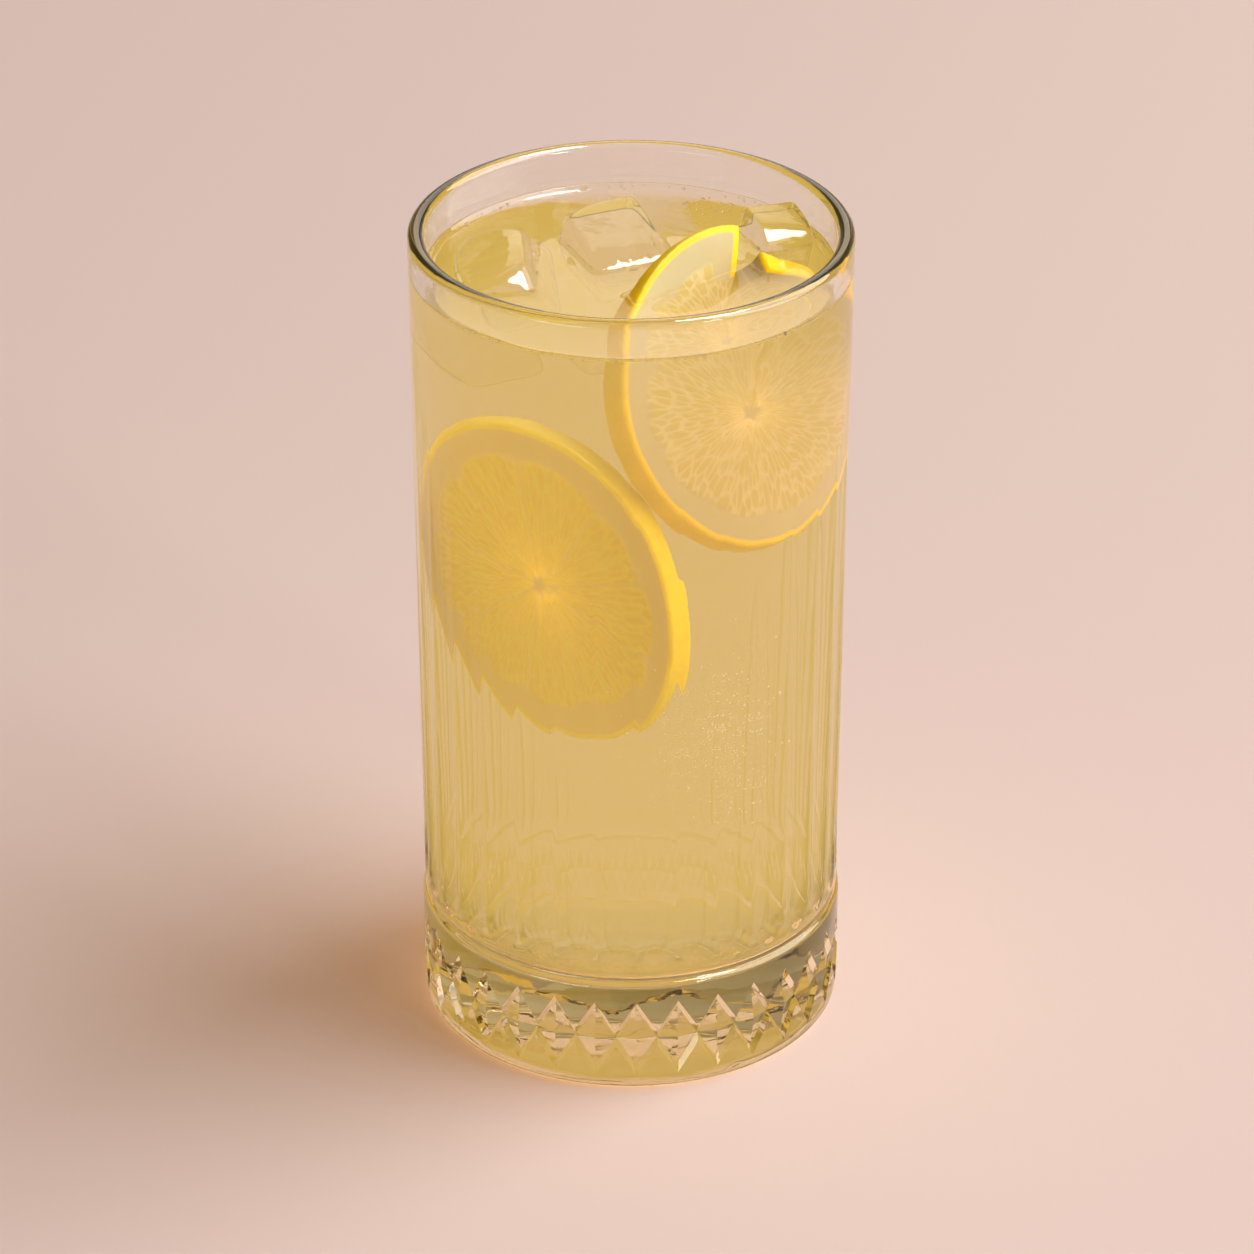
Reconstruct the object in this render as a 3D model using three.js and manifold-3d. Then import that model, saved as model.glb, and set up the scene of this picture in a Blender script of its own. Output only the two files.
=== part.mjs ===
// A glass of lemonade: a tall fluted glass with a diamond-cut base, filled with lemonade,
// three lumps of ice that float at the surface and a slit lemon wheel that stands out of it.
// Millimetres, +Z up, origin at the middle of the foot, front of the glass towards -Y.

import * as THREE from 'three';
import { mergeVertices } from 'three/addons/utils/BufferGeometryUtils.js';
import { RoundedBoxGeometry } from 'three/addons/geometries/RoundedBoxGeometry.js';
import Module from 'manifold-3d';

// Glass, heights from the foot
const GLASS_HEIGHT = 150;
const RIM_RADIUS = 38.1;
const RIM_ROUNDING = 1.45;
const NECK_RADIUS = 37.1;
const NECK_HEIGHT = 24;
const NECK_GROOVE = 0.5;
const INNER_RIM_RADIUS = 35.2;
const INNER_FLOOR_RADIUS = 34;
const FLOOR_HEIGHT = 20;
const FLOOR_FILLET = 5;

// Base ring with its band of diamonds
const BASE_RADIUS = 37.5;
const BASE_TOP = 21.8;
const BASE_ROUNDING = 1.2;
const BAND_TOP = 16.5;
const BAND_BOTTOM = 4.5;
const BAND_LEDGE = 0.4;
const DIAMOND_DEPTH = 0.8;
const FOOT_RADIUS = 35.9;
const FOOT_ROUNDING = 1.4;

// Flutes cut into the outside of the body
const FLUTE_COUNT = 32;
const FLUTE_DEPTH = 0.9;
const FLUTE_BOTTOM = 24.6;
const FLUTE_SCOOP = 3.5;
const FLUTE_TOP = 126;
const FLUTE_FADE = 14;
const PATTERN_TURN = 1.6;

// Lemonade
const LEVEL = 141.5;
const GAP = 0.3;

// Lemon wheel: its middle, how far its face turns to the right and leans back, and its size
const WHEEL_CENTRE = new THREE.Vector3(16.2, -9.1, 123);
const WHEEL_TURN = 52;
const WHEEL_LEAN = 26.5;
const WHEEL_RADIUS = 24.7;
const WHEEL_THICKNESS = 4.4;
// The slit runs from the middle out to the rim; one flap stands up behind it as a corner
const SLIT_ANGLE = 59;
const SLIT_HALF_WIDTH = 2.5;
const CORNER_RISE = 4;
const CORNER_FORWARD = 3.8;
const CORNER_SPREAD = 65;
// The other flap is bent round by the wall of the glass
const BEND_DIRECTION = 49;
const BEND_START = 8.9;
const BEND_RADIUS = 9.3;
const BEND_LIMIT = 56;

// Ice: middle, size, roundness of the edges, turns in degrees about x, y and z, and taper
const ICE = [
  {
    name: 'ice_left', middle: [-21.4, 2.4, 136.3], size: [14.5, 25, 17],
    edge: 2.6, turn: [3, -21, 2], taper: 0.1,
  },
  {
    name: 'ice_middle', middle: [-2.6, 9.6, 136.8], size: [14.5, 22, 16],
    edge: 2.4, turn: [13, 0, 24], taper: -0.08,
  },
  {
    name: 'ice_right', middle: [25.0, 14.2, 139.4], size: [11, 12, 13],
    edge: 2.6, turn: [8, 6, 24], taper: 0.06,
  },
];
const ICE_EDGE_STEPS = 2;

// Fineness of the round pieces
const FINE = FLUTE_COUNT * 4;
const COARSE = FLUTE_COUNT * 2;
const WHEEL_STEPS = 40;
const WHEEL_RINGS = [0.2, 0.42, 0.64, 0.86, 1];

const wasm = await Module();
wasm.setup();

const rad = THREE.MathUtils.degToRad;
const lerp = THREE.MathUtils.lerp;
const smooth = THREE.MathUtils.smoothstep;

// Angle of a column, counted round from the front of the glass
function columnAngle(column, count) {
  return rad(PATTERN_TURN - 90) + (column / count) * 2 * Math.PI;
}

function ring(count, height, radiusAt) {
  return Array.from({ length: count }, (_, column) => {
    const angle = columnAngle(column, count);
    const radius = radiusAt(column);
    return new THREE.Vector3(radius * Math.cos(angle), radius * Math.sin(angle), height);
  });
}

function circle(count, radius, height) {
  return ring(count, height, () => radius);
}

// Straight taper of the body's outside, and of the wall inside
function bodyRadius(height) {
  return lerp(NECK_RADIUS, RIM_RADIUS, (height - NECK_HEIGHT) / (GLASS_HEIGHT - NECK_HEIGHT));
}

function insideRadius(height) {
  return lerp(INNER_FLOOR_RADIUS, INNER_RIM_RADIUS, (height - FLOOR_HEIGHT) / (GLASS_HEIGHT - FLOOR_HEIGHT));
}

// Ring across the flutes: each is a hollow scoop between two sharp ridges
function flutedRing(height, share) {
  const perFlute = FINE / FLUTE_COUNT;
  return ring(FINE, height, (column) => {
    const across = 2 * (column % perFlute) / perFlute - 1;
    return bodyRadius(height) - share * FLUTE_DEPTH * (1 - across * across);
  });
}

// Ring across the diamonds: raised points alternate with the cuts between them
function diamondRing(height, raisedColumn) {
  return ring(COARSE, height, (column) => {
    const raised = column % 2 === raisedColumn;
    return raised ? BASE_RADIUS : BASE_RADIUS - DIAMOND_DEPTH;
  });
}

// Quarter round from one ring to the next, as a few circles
function roundedRings(centreRadius, centreHeight, rounding, fromAngle, toAngle, steps) {
  return Array.from({ length: steps + 1 }, (_, step) => {
    const angle = rad(lerp(fromAngle, toAngle, step / steps));
    const radius = centreRadius + rounding * Math.cos(angle);
    return circle(FINE, radius, centreHeight + rounding * Math.sin(angle));
  });
}

function fromTriangles(points, triangles) {
  const geometry = new THREE.BufferGeometry();
  geometry.setAttribute('position', new THREE.Float32BufferAttribute(points.flatMap((p) => p.toArray()), 3));
  geometry.setIndex(triangles.flat());
  return geometry;
}

function distanceFromAxis(point) {
  return Math.hypot(point.x, point.y);
}

// Skin over a stack of rings, closed by a fan at both ends. A four-sided patch is split
// along its diagonal nearer the axis, so cuts stay sharp. A ring may have twice the points
// of its neighbour.
function skin(rings) {
  const points = [];
  const triangles = [];
  const starts = rings.map((stack) => {
    const start = points.length;
    points.push(...stack);
    return start;
  });
  for (let level = 0; level + 1 < rings.length; level += 1) {
    const lower = rings[level];
    const upper = rings[level + 1];
    const low = (column) => starts[level] + column % lower.length;
    const high = (column) => starts[level + 1] + column % upper.length;
    const count = Math.min(lower.length, upper.length);
    for (let i = 0; i < count; i += 1) {
      if (lower.length > upper.length) {
        triangles.push([low(2 * i), low(2 * i + 1), high(i)]);
        triangles.push([low(2 * i + 1), high(i + 1), high(i)]);
        triangles.push([low(2 * i + 1), low(2 * i + 2), high(i + 1)]);
      } else if (lower.length < upper.length) {
        triangles.push([low(i), high(2 * i + 1), high(2 * i)]);
        triangles.push([low(i), low(i + 1), high(2 * i + 1)]);
        triangles.push([low(i + 1), high(2 * i + 2), high(2 * i + 1)]);
      } else {
        const corners = [low(i), low(i + 1), high(i + 1), high(i)];
        const depths = corners.map((corner) => distanceFromAxis(points[corner]));
        const [a, b, c, d] = corners;
        if (depths[0] + depths[2] < depths[1] + depths[3]) {
          triangles.push([a, b, c], [a, c, d]);
        } else {
          triangles.push([a, b, d], [b, c, d]);
        }
      }
    }
  }
  const closeEnd = (level, flip) => {
    const centre = points.length;
    points.push(new THREE.Vector3(0, 0, rings[level][0].z));
    const count = rings[level].length;
    for (let i = 0; i < count; i += 1) {
      const near = starts[level] + i;
      const next = starts[level] + (i + 1) % count;
      triangles.push(flip ? [centre, next, near] : [centre, near, next]);
    }
  };
  closeEnd(0, true);
  closeEnd(rings.length - 1, false);
  return fromTriangles(points, triangles);
}

// Glass: foot, band of diamonds, plain ring, grooved neck, flutes, plain lip, then the inside
function glassGeometry() {
  const equator = (BAND_TOP + BAND_BOTTOM) / 2;
  const neckGroove = (BASE_TOP + NECK_HEIGHT) / 2;
  const rimMiddle = (RIM_RADIUS + INNER_RIM_RADIUS) / 2;
  const rimShoulder = GLASS_HEIGHT - RIM_ROUNDING;
  return skin([
    ...roundedRings(FOOT_RADIUS, FOOT_ROUNDING, FOOT_ROUNDING, -90, 0, 2),
    circle(FINE, BASE_RADIUS, BAND_BOTTOM - BAND_LEDGE),
    diamondRing(BAND_BOTTOM, 1),
    diamondRing(equator, 0),
    diamondRing(BAND_TOP, 1),
    circle(FINE, BASE_RADIUS, BAND_TOP + BAND_LEDGE),
    ...roundedRings(BASE_RADIUS - BASE_ROUNDING, BASE_TOP - BASE_ROUNDING, BASE_ROUNDING, 0, 60, 1),
    circle(FINE, NECK_RADIUS - NECK_GROOVE, neckGroove),
    circle(FINE, bodyRadius(FLUTE_BOTTOM), FLUTE_BOTTOM),
    flutedRing(FLUTE_BOTTOM + FLUTE_SCOOP / 3, 0.7),
    flutedRing(FLUTE_BOTTOM + FLUTE_SCOOP, 1),
    flutedRing(FLUTE_TOP - FLUTE_FADE, 1),
    flutedRing(FLUTE_TOP - FLUTE_FADE / 2, 0.5),
    circle(FINE, bodyRadius(FLUTE_TOP), FLUTE_TOP),
    ...roundedRings(rimMiddle, rimShoulder, RIM_ROUNDING, 0, 180, 4),
    circle(FINE, insideRadius(FLOOR_HEIGHT + FLOOR_FILLET), FLOOR_HEIGHT + FLOOR_FILLET),
    circle(FINE, INNER_FLOOR_RADIUS - FLOOR_FILLET * 0.3, FLOOR_HEIGHT + FLOOR_FILLET * 0.3),
    circle(COARSE, INNER_FLOOR_RADIUS - FLOOR_FILLET, FLOOR_HEIGHT),
  ]);
}

// Lemonade before anything is pushed into it: clear of the glass all round
function drinkGeometry() {
  return skin([
    circle(COARSE, INNER_FLOOR_RADIUS - FLOOR_FILLET - GAP, FLOOR_HEIGHT + GAP),
    circle(COARSE, INNER_FLOOR_RADIUS - FLOOR_FILLET * 0.3 - GAP, FLOOR_HEIGHT + FLOOR_FILLET * 0.3 + GAP),
    circle(COARSE, insideRadius(FLOOR_HEIGHT + FLOOR_FILLET) - GAP, FLOOR_HEIGHT + FLOOR_FILLET),
    circle(COARSE, insideRadius(LEVEL) - GAP, LEVEL),
  ]);
}

// Lump of ice: a rounded block, narrower at one end, turned and set in its place
function iceGeometry({ middle, size, edge, turn, taper }, grow) {
  const [width, depth, height] = size.map((side) => side + 2 * grow);
  const block = new RoundedBoxGeometry(width, depth, height, ICE_EDGE_STEPS, edge + grow);
  block.deleteAttribute('normal');
  block.deleteAttribute('uv');
  const geometry = mergeVertices(block);
  const position = geometry.attributes.position;
  for (let i = 0; i < position.count; i += 1) {
    const scale = 1 - taper * position.getZ(i) / (height / 2);
    position.setX(i, position.getX(i) * scale);
    position.setY(i, position.getY(i) * scale);
  }
  const [aboutX, aboutY, aboutZ] = turn.map(rad);
  const pose = new THREE.Matrix4().makeRotationFromEuler(new THREE.Euler(aboutX, aboutY, aboutZ, 'ZYX'));
  pose.setPosition(...middle);
  return geometry.applyMatrix4(pose);
}

// Directions of the lemon wheel: out of its face, along it level, and along it upwards
const wheelOut = new THREE.Vector3(
  Math.sin(rad(WHEEL_TURN)) * Math.cos(rad(WHEEL_LEAN)),
  -Math.cos(rad(WHEEL_TURN)) * Math.cos(rad(WHEEL_LEAN)),
  Math.sin(rad(WHEEL_LEAN)),
);
const wheelAlong = new THREE.Vector3(Math.cos(rad(WHEEL_TURN)), Math.sin(rad(WHEEL_TURN)), 0);
const wheelUp = new THREE.Vector3().crossVectors(wheelOut, wheelAlong);

// Point of the wheel at a share of its radius, an angle after the slit and a depth behind its face
function wheelPoint(share, afterSlit, radius, depth) {
  const angle = rad(SLIT_ANGLE + afterSlit);
  const corner = (1 - smooth(afterSlit, 0, CORNER_SPREAD)) * smooth(share, 0.25, 1);
  const reach = share * (radius + CORNER_RISE * corner);
  const along = reach * Math.cos(angle);
  const up = reach * Math.sin(angle);
  const bendAxis = rad(BEND_DIRECTION);
  const across = along * Math.cos(bendAxis) + up * Math.sin(bendAxis);
  const beside = up * Math.cos(bendAxis) - along * Math.sin(bendAxis);
  const bent = afterSlit > 180 ? Math.max(0, across - BEND_START) : 0;
  const turn = Math.min(bent / BEND_RADIUS, rad(BEND_LIMIT));
  const straight = bent - turn * BEND_RADIUS;
  const flatAcross = across - bent + BEND_RADIUS * Math.sin(turn) + straight * Math.cos(turn);
  const forward = BEND_RADIUS * (1 - Math.cos(turn)) + straight * Math.sin(turn) + CORNER_FORWARD * corner;
  const finalAcross = flatAcross + depth * Math.sin(turn);
  const finalOut = forward - depth * Math.cos(turn);
  const finalAlong = finalAcross * Math.cos(bendAxis) - beside * Math.sin(bendAxis);
  const finalUp = finalAcross * Math.sin(bendAxis) + beside * Math.cos(bendAxis);
  return WHEEL_CENTRE.clone()
    .addScaledVector(wheelAlong, finalAlong)
    .addScaledVector(wheelUp, finalUp)
    .addScaledVector(wheelOut, finalOut);
}

// Lemon wheel, slit from its middle to its rim, or closed across the slit as a cutter
function wheelGeometry(grow, closed) {
  const radius = WHEEL_RADIUS + grow;
  const faces = [-grow, WHEEL_THICKNESS + grow];
  const points = faces.map((depth) => wheelPoint(0, 0, radius, depth));
  const triangles = [];
  const columns = WHEEL_STEPS + 1;
  const vertex = (face, column, level) => 2 + (face * columns + column) * WHEEL_RINGS.length + level;
  for (const depth of faces) {
    for (let column = 0; column < columns; column += 1) {
      const afterSlit = lerp(SLIT_HALF_WIDTH, 360 - SLIT_HALF_WIDTH, column / WHEEL_STEPS);
      points.push(...WHEEL_RINGS.map((share) => wheelPoint(share, afterSlit, radius, depth)));
    }
  }
  const quad = (a, b, c, d) => triangles.push([a, b, c], [a, c, d]);
  const rim = WHEEL_RINGS.length - 1;
  const strip = (column, next) => {
    triangles.push([0, vertex(0, column, 0), vertex(0, next, 0)]);
    triangles.push([1, vertex(1, next, 0), vertex(1, column, 0)]);
    for (let level = 0; level < rim; level += 1) {
      const front = [vertex(0, column, level), vertex(0, column, level + 1)];
      quad(...front, vertex(0, next, level + 1), vertex(0, next, level));
      const back = [vertex(1, next, level), vertex(1, next, level + 1)];
      quad(...back, vertex(1, column, level + 1), vertex(1, column, level));
    }
    quad(vertex(0, next, rim), vertex(0, column, rim), vertex(1, column, rim), vertex(1, next, rim));
  };
  for (let column = 0; column < WHEEL_STEPS; column += 1) {
    strip(column, column + 1);
  }
  const cutFace = (column, flip) => {
    const edge = [[0, 1], ...WHEEL_RINGS.map((_, level) => [vertex(0, column, level), vertex(1, column, level)])];
    for (let level = 0; level <= rim; level += 1) {
      const [innerFront, innerBack] = edge[level];
      const [outerFront, outerBack] = edge[level + 1];
      if (flip) {
        quad(innerFront, outerFront, outerBack, innerBack);
      } else {
        quad(innerFront, innerBack, outerBack, outerFront);
      }
    }
  };
  if (closed) {
    strip(WHEEL_STEPS, 0);
  } else {
    cutFace(0, false);
    cutFace(WHEEL_STEPS, true);
  }
  return fromTriangles(points, triangles);
}

function toSolid(geometry) {
  const vertProperties = new Float32Array(geometry.attributes.position.array);
  const triVerts = new Uint32Array(geometry.index.array);
  return new wasm.Manifold(new wasm.Mesh({ numProp: 3, vertProperties, triVerts }));
}

function fromSolid(solid) {
  const { vertProperties, triVerts } = solid.getMesh();
  const geometry = new THREE.BufferGeometry();
  geometry.setAttribute('position', new THREE.BufferAttribute(vertProperties, 3));
  geometry.setIndex(new THREE.BufferAttribute(triVerts, 1));
  return geometry;
}

// Lemonade, cut clear of the ice and the lemon wheel that stand in it
function lemonadeGeometry() {
  let drink = toSolid(drinkGeometry()).subtract(toSolid(wheelGeometry(GAP, true)));
  for (const lump of ICE) {
    drink = drink.subtract(toSolid(iceGeometry(lump, GAP)));
  }
  return fromSolid(drink);
}

function addPiece(group, name, geometry, color, roughness) {
  const mesh = new THREE.Mesh(geometry, new THREE.MeshStandardMaterial({ color, roughness, metalness: 0 }));
  mesh.name = name;
  group.add(mesh);
}

const drink = new THREE.Group();
addPiece(drink, 'glass', glassGeometry(), 0xd9d6c4, 0.05);
addPiece(drink, 'lemonade', lemonadeGeometry(), 0xdcb96e, 0.1);
for (const lump of ICE) {
  addPiece(drink, lump.name, iceGeometry(lump, 0), 0xe4dccb, 0.1);
}
addPiece(drink, 'lemon_wheel', wheelGeometry(0, false), 0xe6b82a, 0.45);

export default drink;
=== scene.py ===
import math

import bmesh
import bpy
import numpy as np
from mathutils import Euler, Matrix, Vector, noise
from mathutils.bvhtree import BVHTree


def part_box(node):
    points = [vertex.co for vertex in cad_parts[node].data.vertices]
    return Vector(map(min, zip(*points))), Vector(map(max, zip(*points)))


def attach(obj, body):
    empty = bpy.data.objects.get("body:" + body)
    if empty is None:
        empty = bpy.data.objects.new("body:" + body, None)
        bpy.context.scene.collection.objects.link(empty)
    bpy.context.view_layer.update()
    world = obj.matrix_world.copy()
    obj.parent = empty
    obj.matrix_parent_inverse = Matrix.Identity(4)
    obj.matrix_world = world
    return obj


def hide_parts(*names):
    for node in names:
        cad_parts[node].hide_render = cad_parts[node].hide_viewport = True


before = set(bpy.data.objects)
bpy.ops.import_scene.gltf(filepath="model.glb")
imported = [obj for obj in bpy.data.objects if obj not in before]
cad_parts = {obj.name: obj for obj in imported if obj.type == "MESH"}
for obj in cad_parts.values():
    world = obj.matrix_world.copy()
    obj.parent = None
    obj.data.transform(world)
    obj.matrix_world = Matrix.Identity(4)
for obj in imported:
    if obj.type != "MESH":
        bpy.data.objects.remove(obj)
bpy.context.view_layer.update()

# Glass: a pressed highball glass of clear soda-lime glass with a faint olive tint.
# A band of cut diamonds runs round the heavy base; flutes are cut into the outside of the
# body between a grooved neck and a plain, fire-polished lip.
GLASS_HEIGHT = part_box("glass")[1].z
RIM_RADIUS = 0.0381
RIM_ROUNDING = 0.00145
NECK_RADIUS = 0.0371
NECK_HEIGHT = 0.024
NECK_GROOVE = 0.0005
INNER_RIM_RADIUS = 0.0352
INNER_FLOOR_RADIUS = 0.034
FLOOR_HEIGHT = 0.020
FLOOR_FILLET = 0.005
INNER_WALL_TOP = GLASS_HEIGHT - 0.006
INNER_WALL_BOTTOM = FLOOR_HEIGHT + 0.008
BASE_RADIUS = 0.0375
BASE_TOP = 0.0218
BASE_ROUNDING = 0.0012
BAND_TOP = 0.0165
BAND_BOTTOM = 0.0045
BAND_ROWS = 21
BAND_SLACK = 0.00001
DIAMOND_DEPTH = 0.0008
GROOVE_STEEPNESS = 4
GROOVE_RUN_OUT = (BAND_TOP - BAND_BOTTOM) / 2 / GROOVE_STEEPNESS
FACET_ANGLE = math.radians(9)
FOOT_RADIUS = 0.0359
FOOT_ROUNDING = 0.0014
UNDERSIDE_RADIUS = 0.033
UNDERSIDE_HOLLOW = 0.0025
FLUTE_COUNT = 32
FLUTE_DEPTH = 0.0009
FLUTE_BOTTOM = 0.0246
FLUTE_SCOOP = 0.0055
FLUTE_TOP = 0.126
PATTERN_TURN = 1.6
COLUMNS_PER_FLUTE = 16
COLUMNS = FLUTE_COUNT * COLUMNS_PER_FLUTE
GLASS_CLEAR = (0.985, 0.985, 0.96, 1)
GLASS_OLIVE = (0.98, 0.85, 0.42, 1)
OLIVE_DENSITY = 13
GLASS_IOR = 1.52
SHADOW_TINT = (0.65, 0.565, 0.44, 1)

column_angles = np.radians(PATTERN_TURN - 90) + np.arange(COLUMNS) / COLUMNS * 2 * np.pi


def ring(height, radius):
    """Points round the axis, one for each column; the radius may change from column to column."""
    radius = np.broadcast_to(radius, COLUMNS)
    x = radius * np.cos(column_angles)
    y = radius * np.sin(column_angles)
    return np.column_stack((x, y, np.broadcast_to(height, COLUMNS)))


def rounded(centre_radius, centre_height, rounding, start, end, steps):
    """Rings along an arc of the half-section; 0 degrees is outwards and 90 is up."""
    return [
        ring(centre_height + rounding * np.sin(turn), centre_radius + rounding * np.cos(turn))
        for turn in np.radians(np.linspace(start, end, steps + 1))
    ]


def body_radius(height):
    """Outside of the body before the flutes are cut."""
    return np.interp(height, (NECK_HEIGHT, GLASS_HEIGHT), (NECK_RADIUS, RIM_RADIUS))


def inside_radius(height):
    return np.interp(height, (FLOOR_HEIGHT, GLASS_HEIGHT), (INNER_FLOOR_RADIUS, INNER_RIM_RADIUS))


def fluted_ring(height):
    """Ring across the flutes: deepest low down, where each ends in a scoop, and fading to the lip."""
    across = 2 * (np.arange(COLUMNS) % COLUMNS_PER_FLUTE) / COLUMNS_PER_FLUTE - 1
    fading_length = FLUTE_TOP - FLUTE_BOTTOM - FLUTE_SCOOP
    depth = FLUTE_DEPTH * np.clip((FLUTE_TOP - height) / fading_length, 0, 1)
    below = np.clip((FLUTE_BOTTOM + FLUTE_SCOOP - height) / FLUTE_SCOOP, 0, 1)
    cut = np.maximum(0, depth * (1 - across ** 2) - FLUTE_DEPTH * below ** 2)
    return ring(height, body_radius(height) - cut)


def diamond_ring(height):
    """Ring across the diamonds: low pyramids between crossing V-shaped grooves, whose far sides
    rise steeply to plain glass."""
    half_column = COLUMNS_PER_FLUTE // 2
    along = np.abs((np.arange(COLUMNS) / half_column + 1) % 2 - 1)
    middle = (BAND_TOP + BAND_BOTTOM) / 2
    beyond = along - 1 + abs(height - middle) / (BAND_TOP - middle)
    raised = np.where(beyond < 0, -beyond, np.minimum(1, GROOVE_STEEPNESS * beyond))
    return ring(height, BASE_RADIUS - DIAMOND_DEPTH * (1 - raised))


def skin(rings):
    """Triangles over a stack of rings with a fan at both ends; cuts stay crisp because each
    patch is split along its more level diagonal."""
    rings = np.array(rings)
    levels, count = rings.shape[:2]
    points = rings.reshape(-1, 3)
    index = np.arange(levels * count).reshape(levels, count)
    a = index[:-1].ravel()
    b = np.roll(index, -1, 1)[:-1].ravel()
    c = np.roll(index, -1, 1)[1:].ravel()
    d = index[1:].ravel()
    depth = np.hypot(points[:, 0], points[:, 1])
    first = (np.abs(depth[a] - depth[c]) < np.abs(depth[b] - depth[d]))[:, None]
    lower = np.where(first, np.column_stack((a, b, c)), np.column_stack((a, b, d)))
    upper = np.where(first, np.column_stack((a, c, d)), np.column_stack((b, c, d)))
    bottom_middle = len(points)
    top_middle = bottom_middle + 1
    ends = [rings[0].mean(0), rings[-1].mean(0)]
    around = np.arange(count)
    after = np.roll(around, -1)
    bottom = np.column_stack((np.full(count, bottom_middle), after, around))
    top = np.column_stack((np.full(count, top_middle), index[-1], np.roll(index[-1], -1)))
    return np.vstack((points, ends)), np.vstack((lower, upper, bottom, top)).tolist()


def new_piece(name, points, faces):
    """Smooth-shaded mesh, put into the scene."""
    mesh = bpy.data.meshes.new(name)
    mesh.from_pydata(points.tolist(), [], faces)
    mesh.shade_smooth()
    mesh.update()
    piece = bpy.data.objects.new(name, mesh)
    bpy.context.scene.collection.objects.link(piece)
    return piece


def new_material(name):
    """Material with a Principled shader; returns it with its tree and shader."""
    material = bpy.data.materials.new(name)
    material.use_nodes = True
    return material, material.node_tree, material.node_tree.nodes["Principled BSDF"]


def clear_material(name, colour, ior, roughness=0):
    """Material that light passes; returns it with its tree and shader."""
    material, tree, shader = new_material(name)
    shader.inputs["Base Color"].default_value = colour
    shader.inputs["Roughness"].default_value = roughness
    shader.inputs["IOR"].default_value = ior
    shader.inputs["Transmission Weight"].default_value = 1
    return material, tree, shader


def with_lamp_light(tree, seen, lamp_light=None):
    """Shader that is seen as one thing and meets lamp light as another, or lets it by."""
    light_path = tree.nodes.new("ShaderNodeLightPath")
    choose = tree.nodes.new("ShaderNodeMixShader")
    tree.links.new(light_path.outputs["Is Shadow Ray"], choose.inputs["Fac"])
    tree.links.new(seen, choose.inputs[1])
    if lamp_light:
        tree.links.new(lamp_light, choose.inputs[2])
    return choose.outputs["Shader"]


def waves_group():
    """Height of slow waves with finer ones on them, as on pressed glass, ice, bubbles and frost."""
    group = bpy.data.node_groups.new("surface waves", "ShaderNodeTree")
    for name in ("Wave Scale", "Fine Scale", "Fine Share"):
        group.interface.new_socket(name, in_out="INPUT", socket_type="NodeSocketFloat")
    group.interface.new_socket("Height", in_out="OUTPUT", socket_type="NodeSocketFloat")
    given = group.nodes.new("NodeGroupInput")
    made = group.nodes.new("NodeGroupOutput")
    place = group.nodes.new("ShaderNodeTexCoord")
    slow = group.nodes.new("ShaderNodeTexNoise")
    fine = group.nodes.new("ShaderNodeTexNoise")
    fine.inputs["Detail"].default_value = 1
    add = group.nodes.new("ShaderNodeMath")
    add.operation = "MULTIPLY_ADD"
    for texture, scale in ((slow, "Wave Scale"), (fine, "Fine Scale")):
        group.links.new(place.outputs["Object"], texture.inputs["Vector"])
        group.links.new(given.outputs[scale], texture.inputs["Scale"])
    group.links.new(fine.outputs["Fac"], add.inputs[0])
    group.links.new(given.outputs["Fine Share"], add.inputs[1])
    group.links.new(slow.outputs["Fac"], add.inputs[2])
    group.links.new(add.outputs["Value"], made.inputs["Height"])
    return group


surface_waves = waves_group()


def add_waves(tree, shader, wave_scale, fine_scale, fine_share, height):
    """Bumps a shader's normal with the shared waves; height is in metres."""
    waves = tree.nodes.new("ShaderNodeGroup")
    waves.node_tree = surface_waves
    waves.inputs["Wave Scale"].default_value = wave_scale
    waves.inputs["Fine Scale"].default_value = fine_scale
    waves.inputs["Fine Share"].default_value = fine_share
    bump = tree.nodes.new("ShaderNodeBump")
    bump.inputs["Distance"].default_value = height
    tree.links.new(waves.outputs["Height"], bump.inputs["Height"])
    tree.links.new(bump.outputs["Normal"], shader.inputs["Normal"])


# Rings from the hollow underside up the outside, over the lip and down the inside to the floor
glass_rings = [
    ring(UNDERSIDE_HOLLOW * (1 - share ** 2), share * UNDERSIDE_RADIUS)
    for share in np.linspace(0.1, 1, 10)
]
glass_rings += rounded(FOOT_RADIUS, FOOT_ROUNDING, FOOT_ROUNDING, -90, 0, 8)
cut_bottom = BAND_BOTTOM - GROOVE_RUN_OUT
cut_top = BAND_TOP + GROOVE_RUN_OUT
glass_rings += [diamond_ring(z) for z in np.linspace(cut_bottom, cut_top, BAND_ROWS)]
glass_rings += rounded(
    BASE_RADIUS - BASE_ROUNDING, BASE_TOP - BASE_ROUNDING, BASE_ROUNDING, 0, 75, 8
)
glass_rings.append(ring((BASE_TOP + NECK_HEIGHT) / 2, NECK_RADIUS - NECK_GROOVE))
glass_rings.append(ring(NECK_HEIGHT, body_radius(NECK_HEIGHT)))
scoop_top = FLUTE_BOTTOM + FLUTE_SCOOP
glass_rings += [fluted_ring(z) for z in np.linspace(FLUTE_BOTTOM, scoop_top, 12)]
glass_rings += [fluted_ring(z) for z in np.linspace(scoop_top, FLUTE_TOP, 18)[1:]]
lip_bottom = GLASS_HEIGHT - 3 * RIM_ROUNDING
rim_middle = (RIM_RADIUS + INNER_RIM_RADIUS) / 2
glass_rings.append(ring(lip_bottom, body_radius(lip_bottom)))
glass_rings += rounded(rim_middle, GLASS_HEIGHT - RIM_ROUNDING, RIM_ROUNDING, 0, 180, 20)
inner_heights = np.linspace(INNER_WALL_TOP, INNER_WALL_BOTTOM, 10)
glass_rings += [ring(z, inside_radius(z)) for z in inner_heights]
flat_floor_radius = INNER_FLOOR_RADIUS - FLOOR_FILLET
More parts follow.
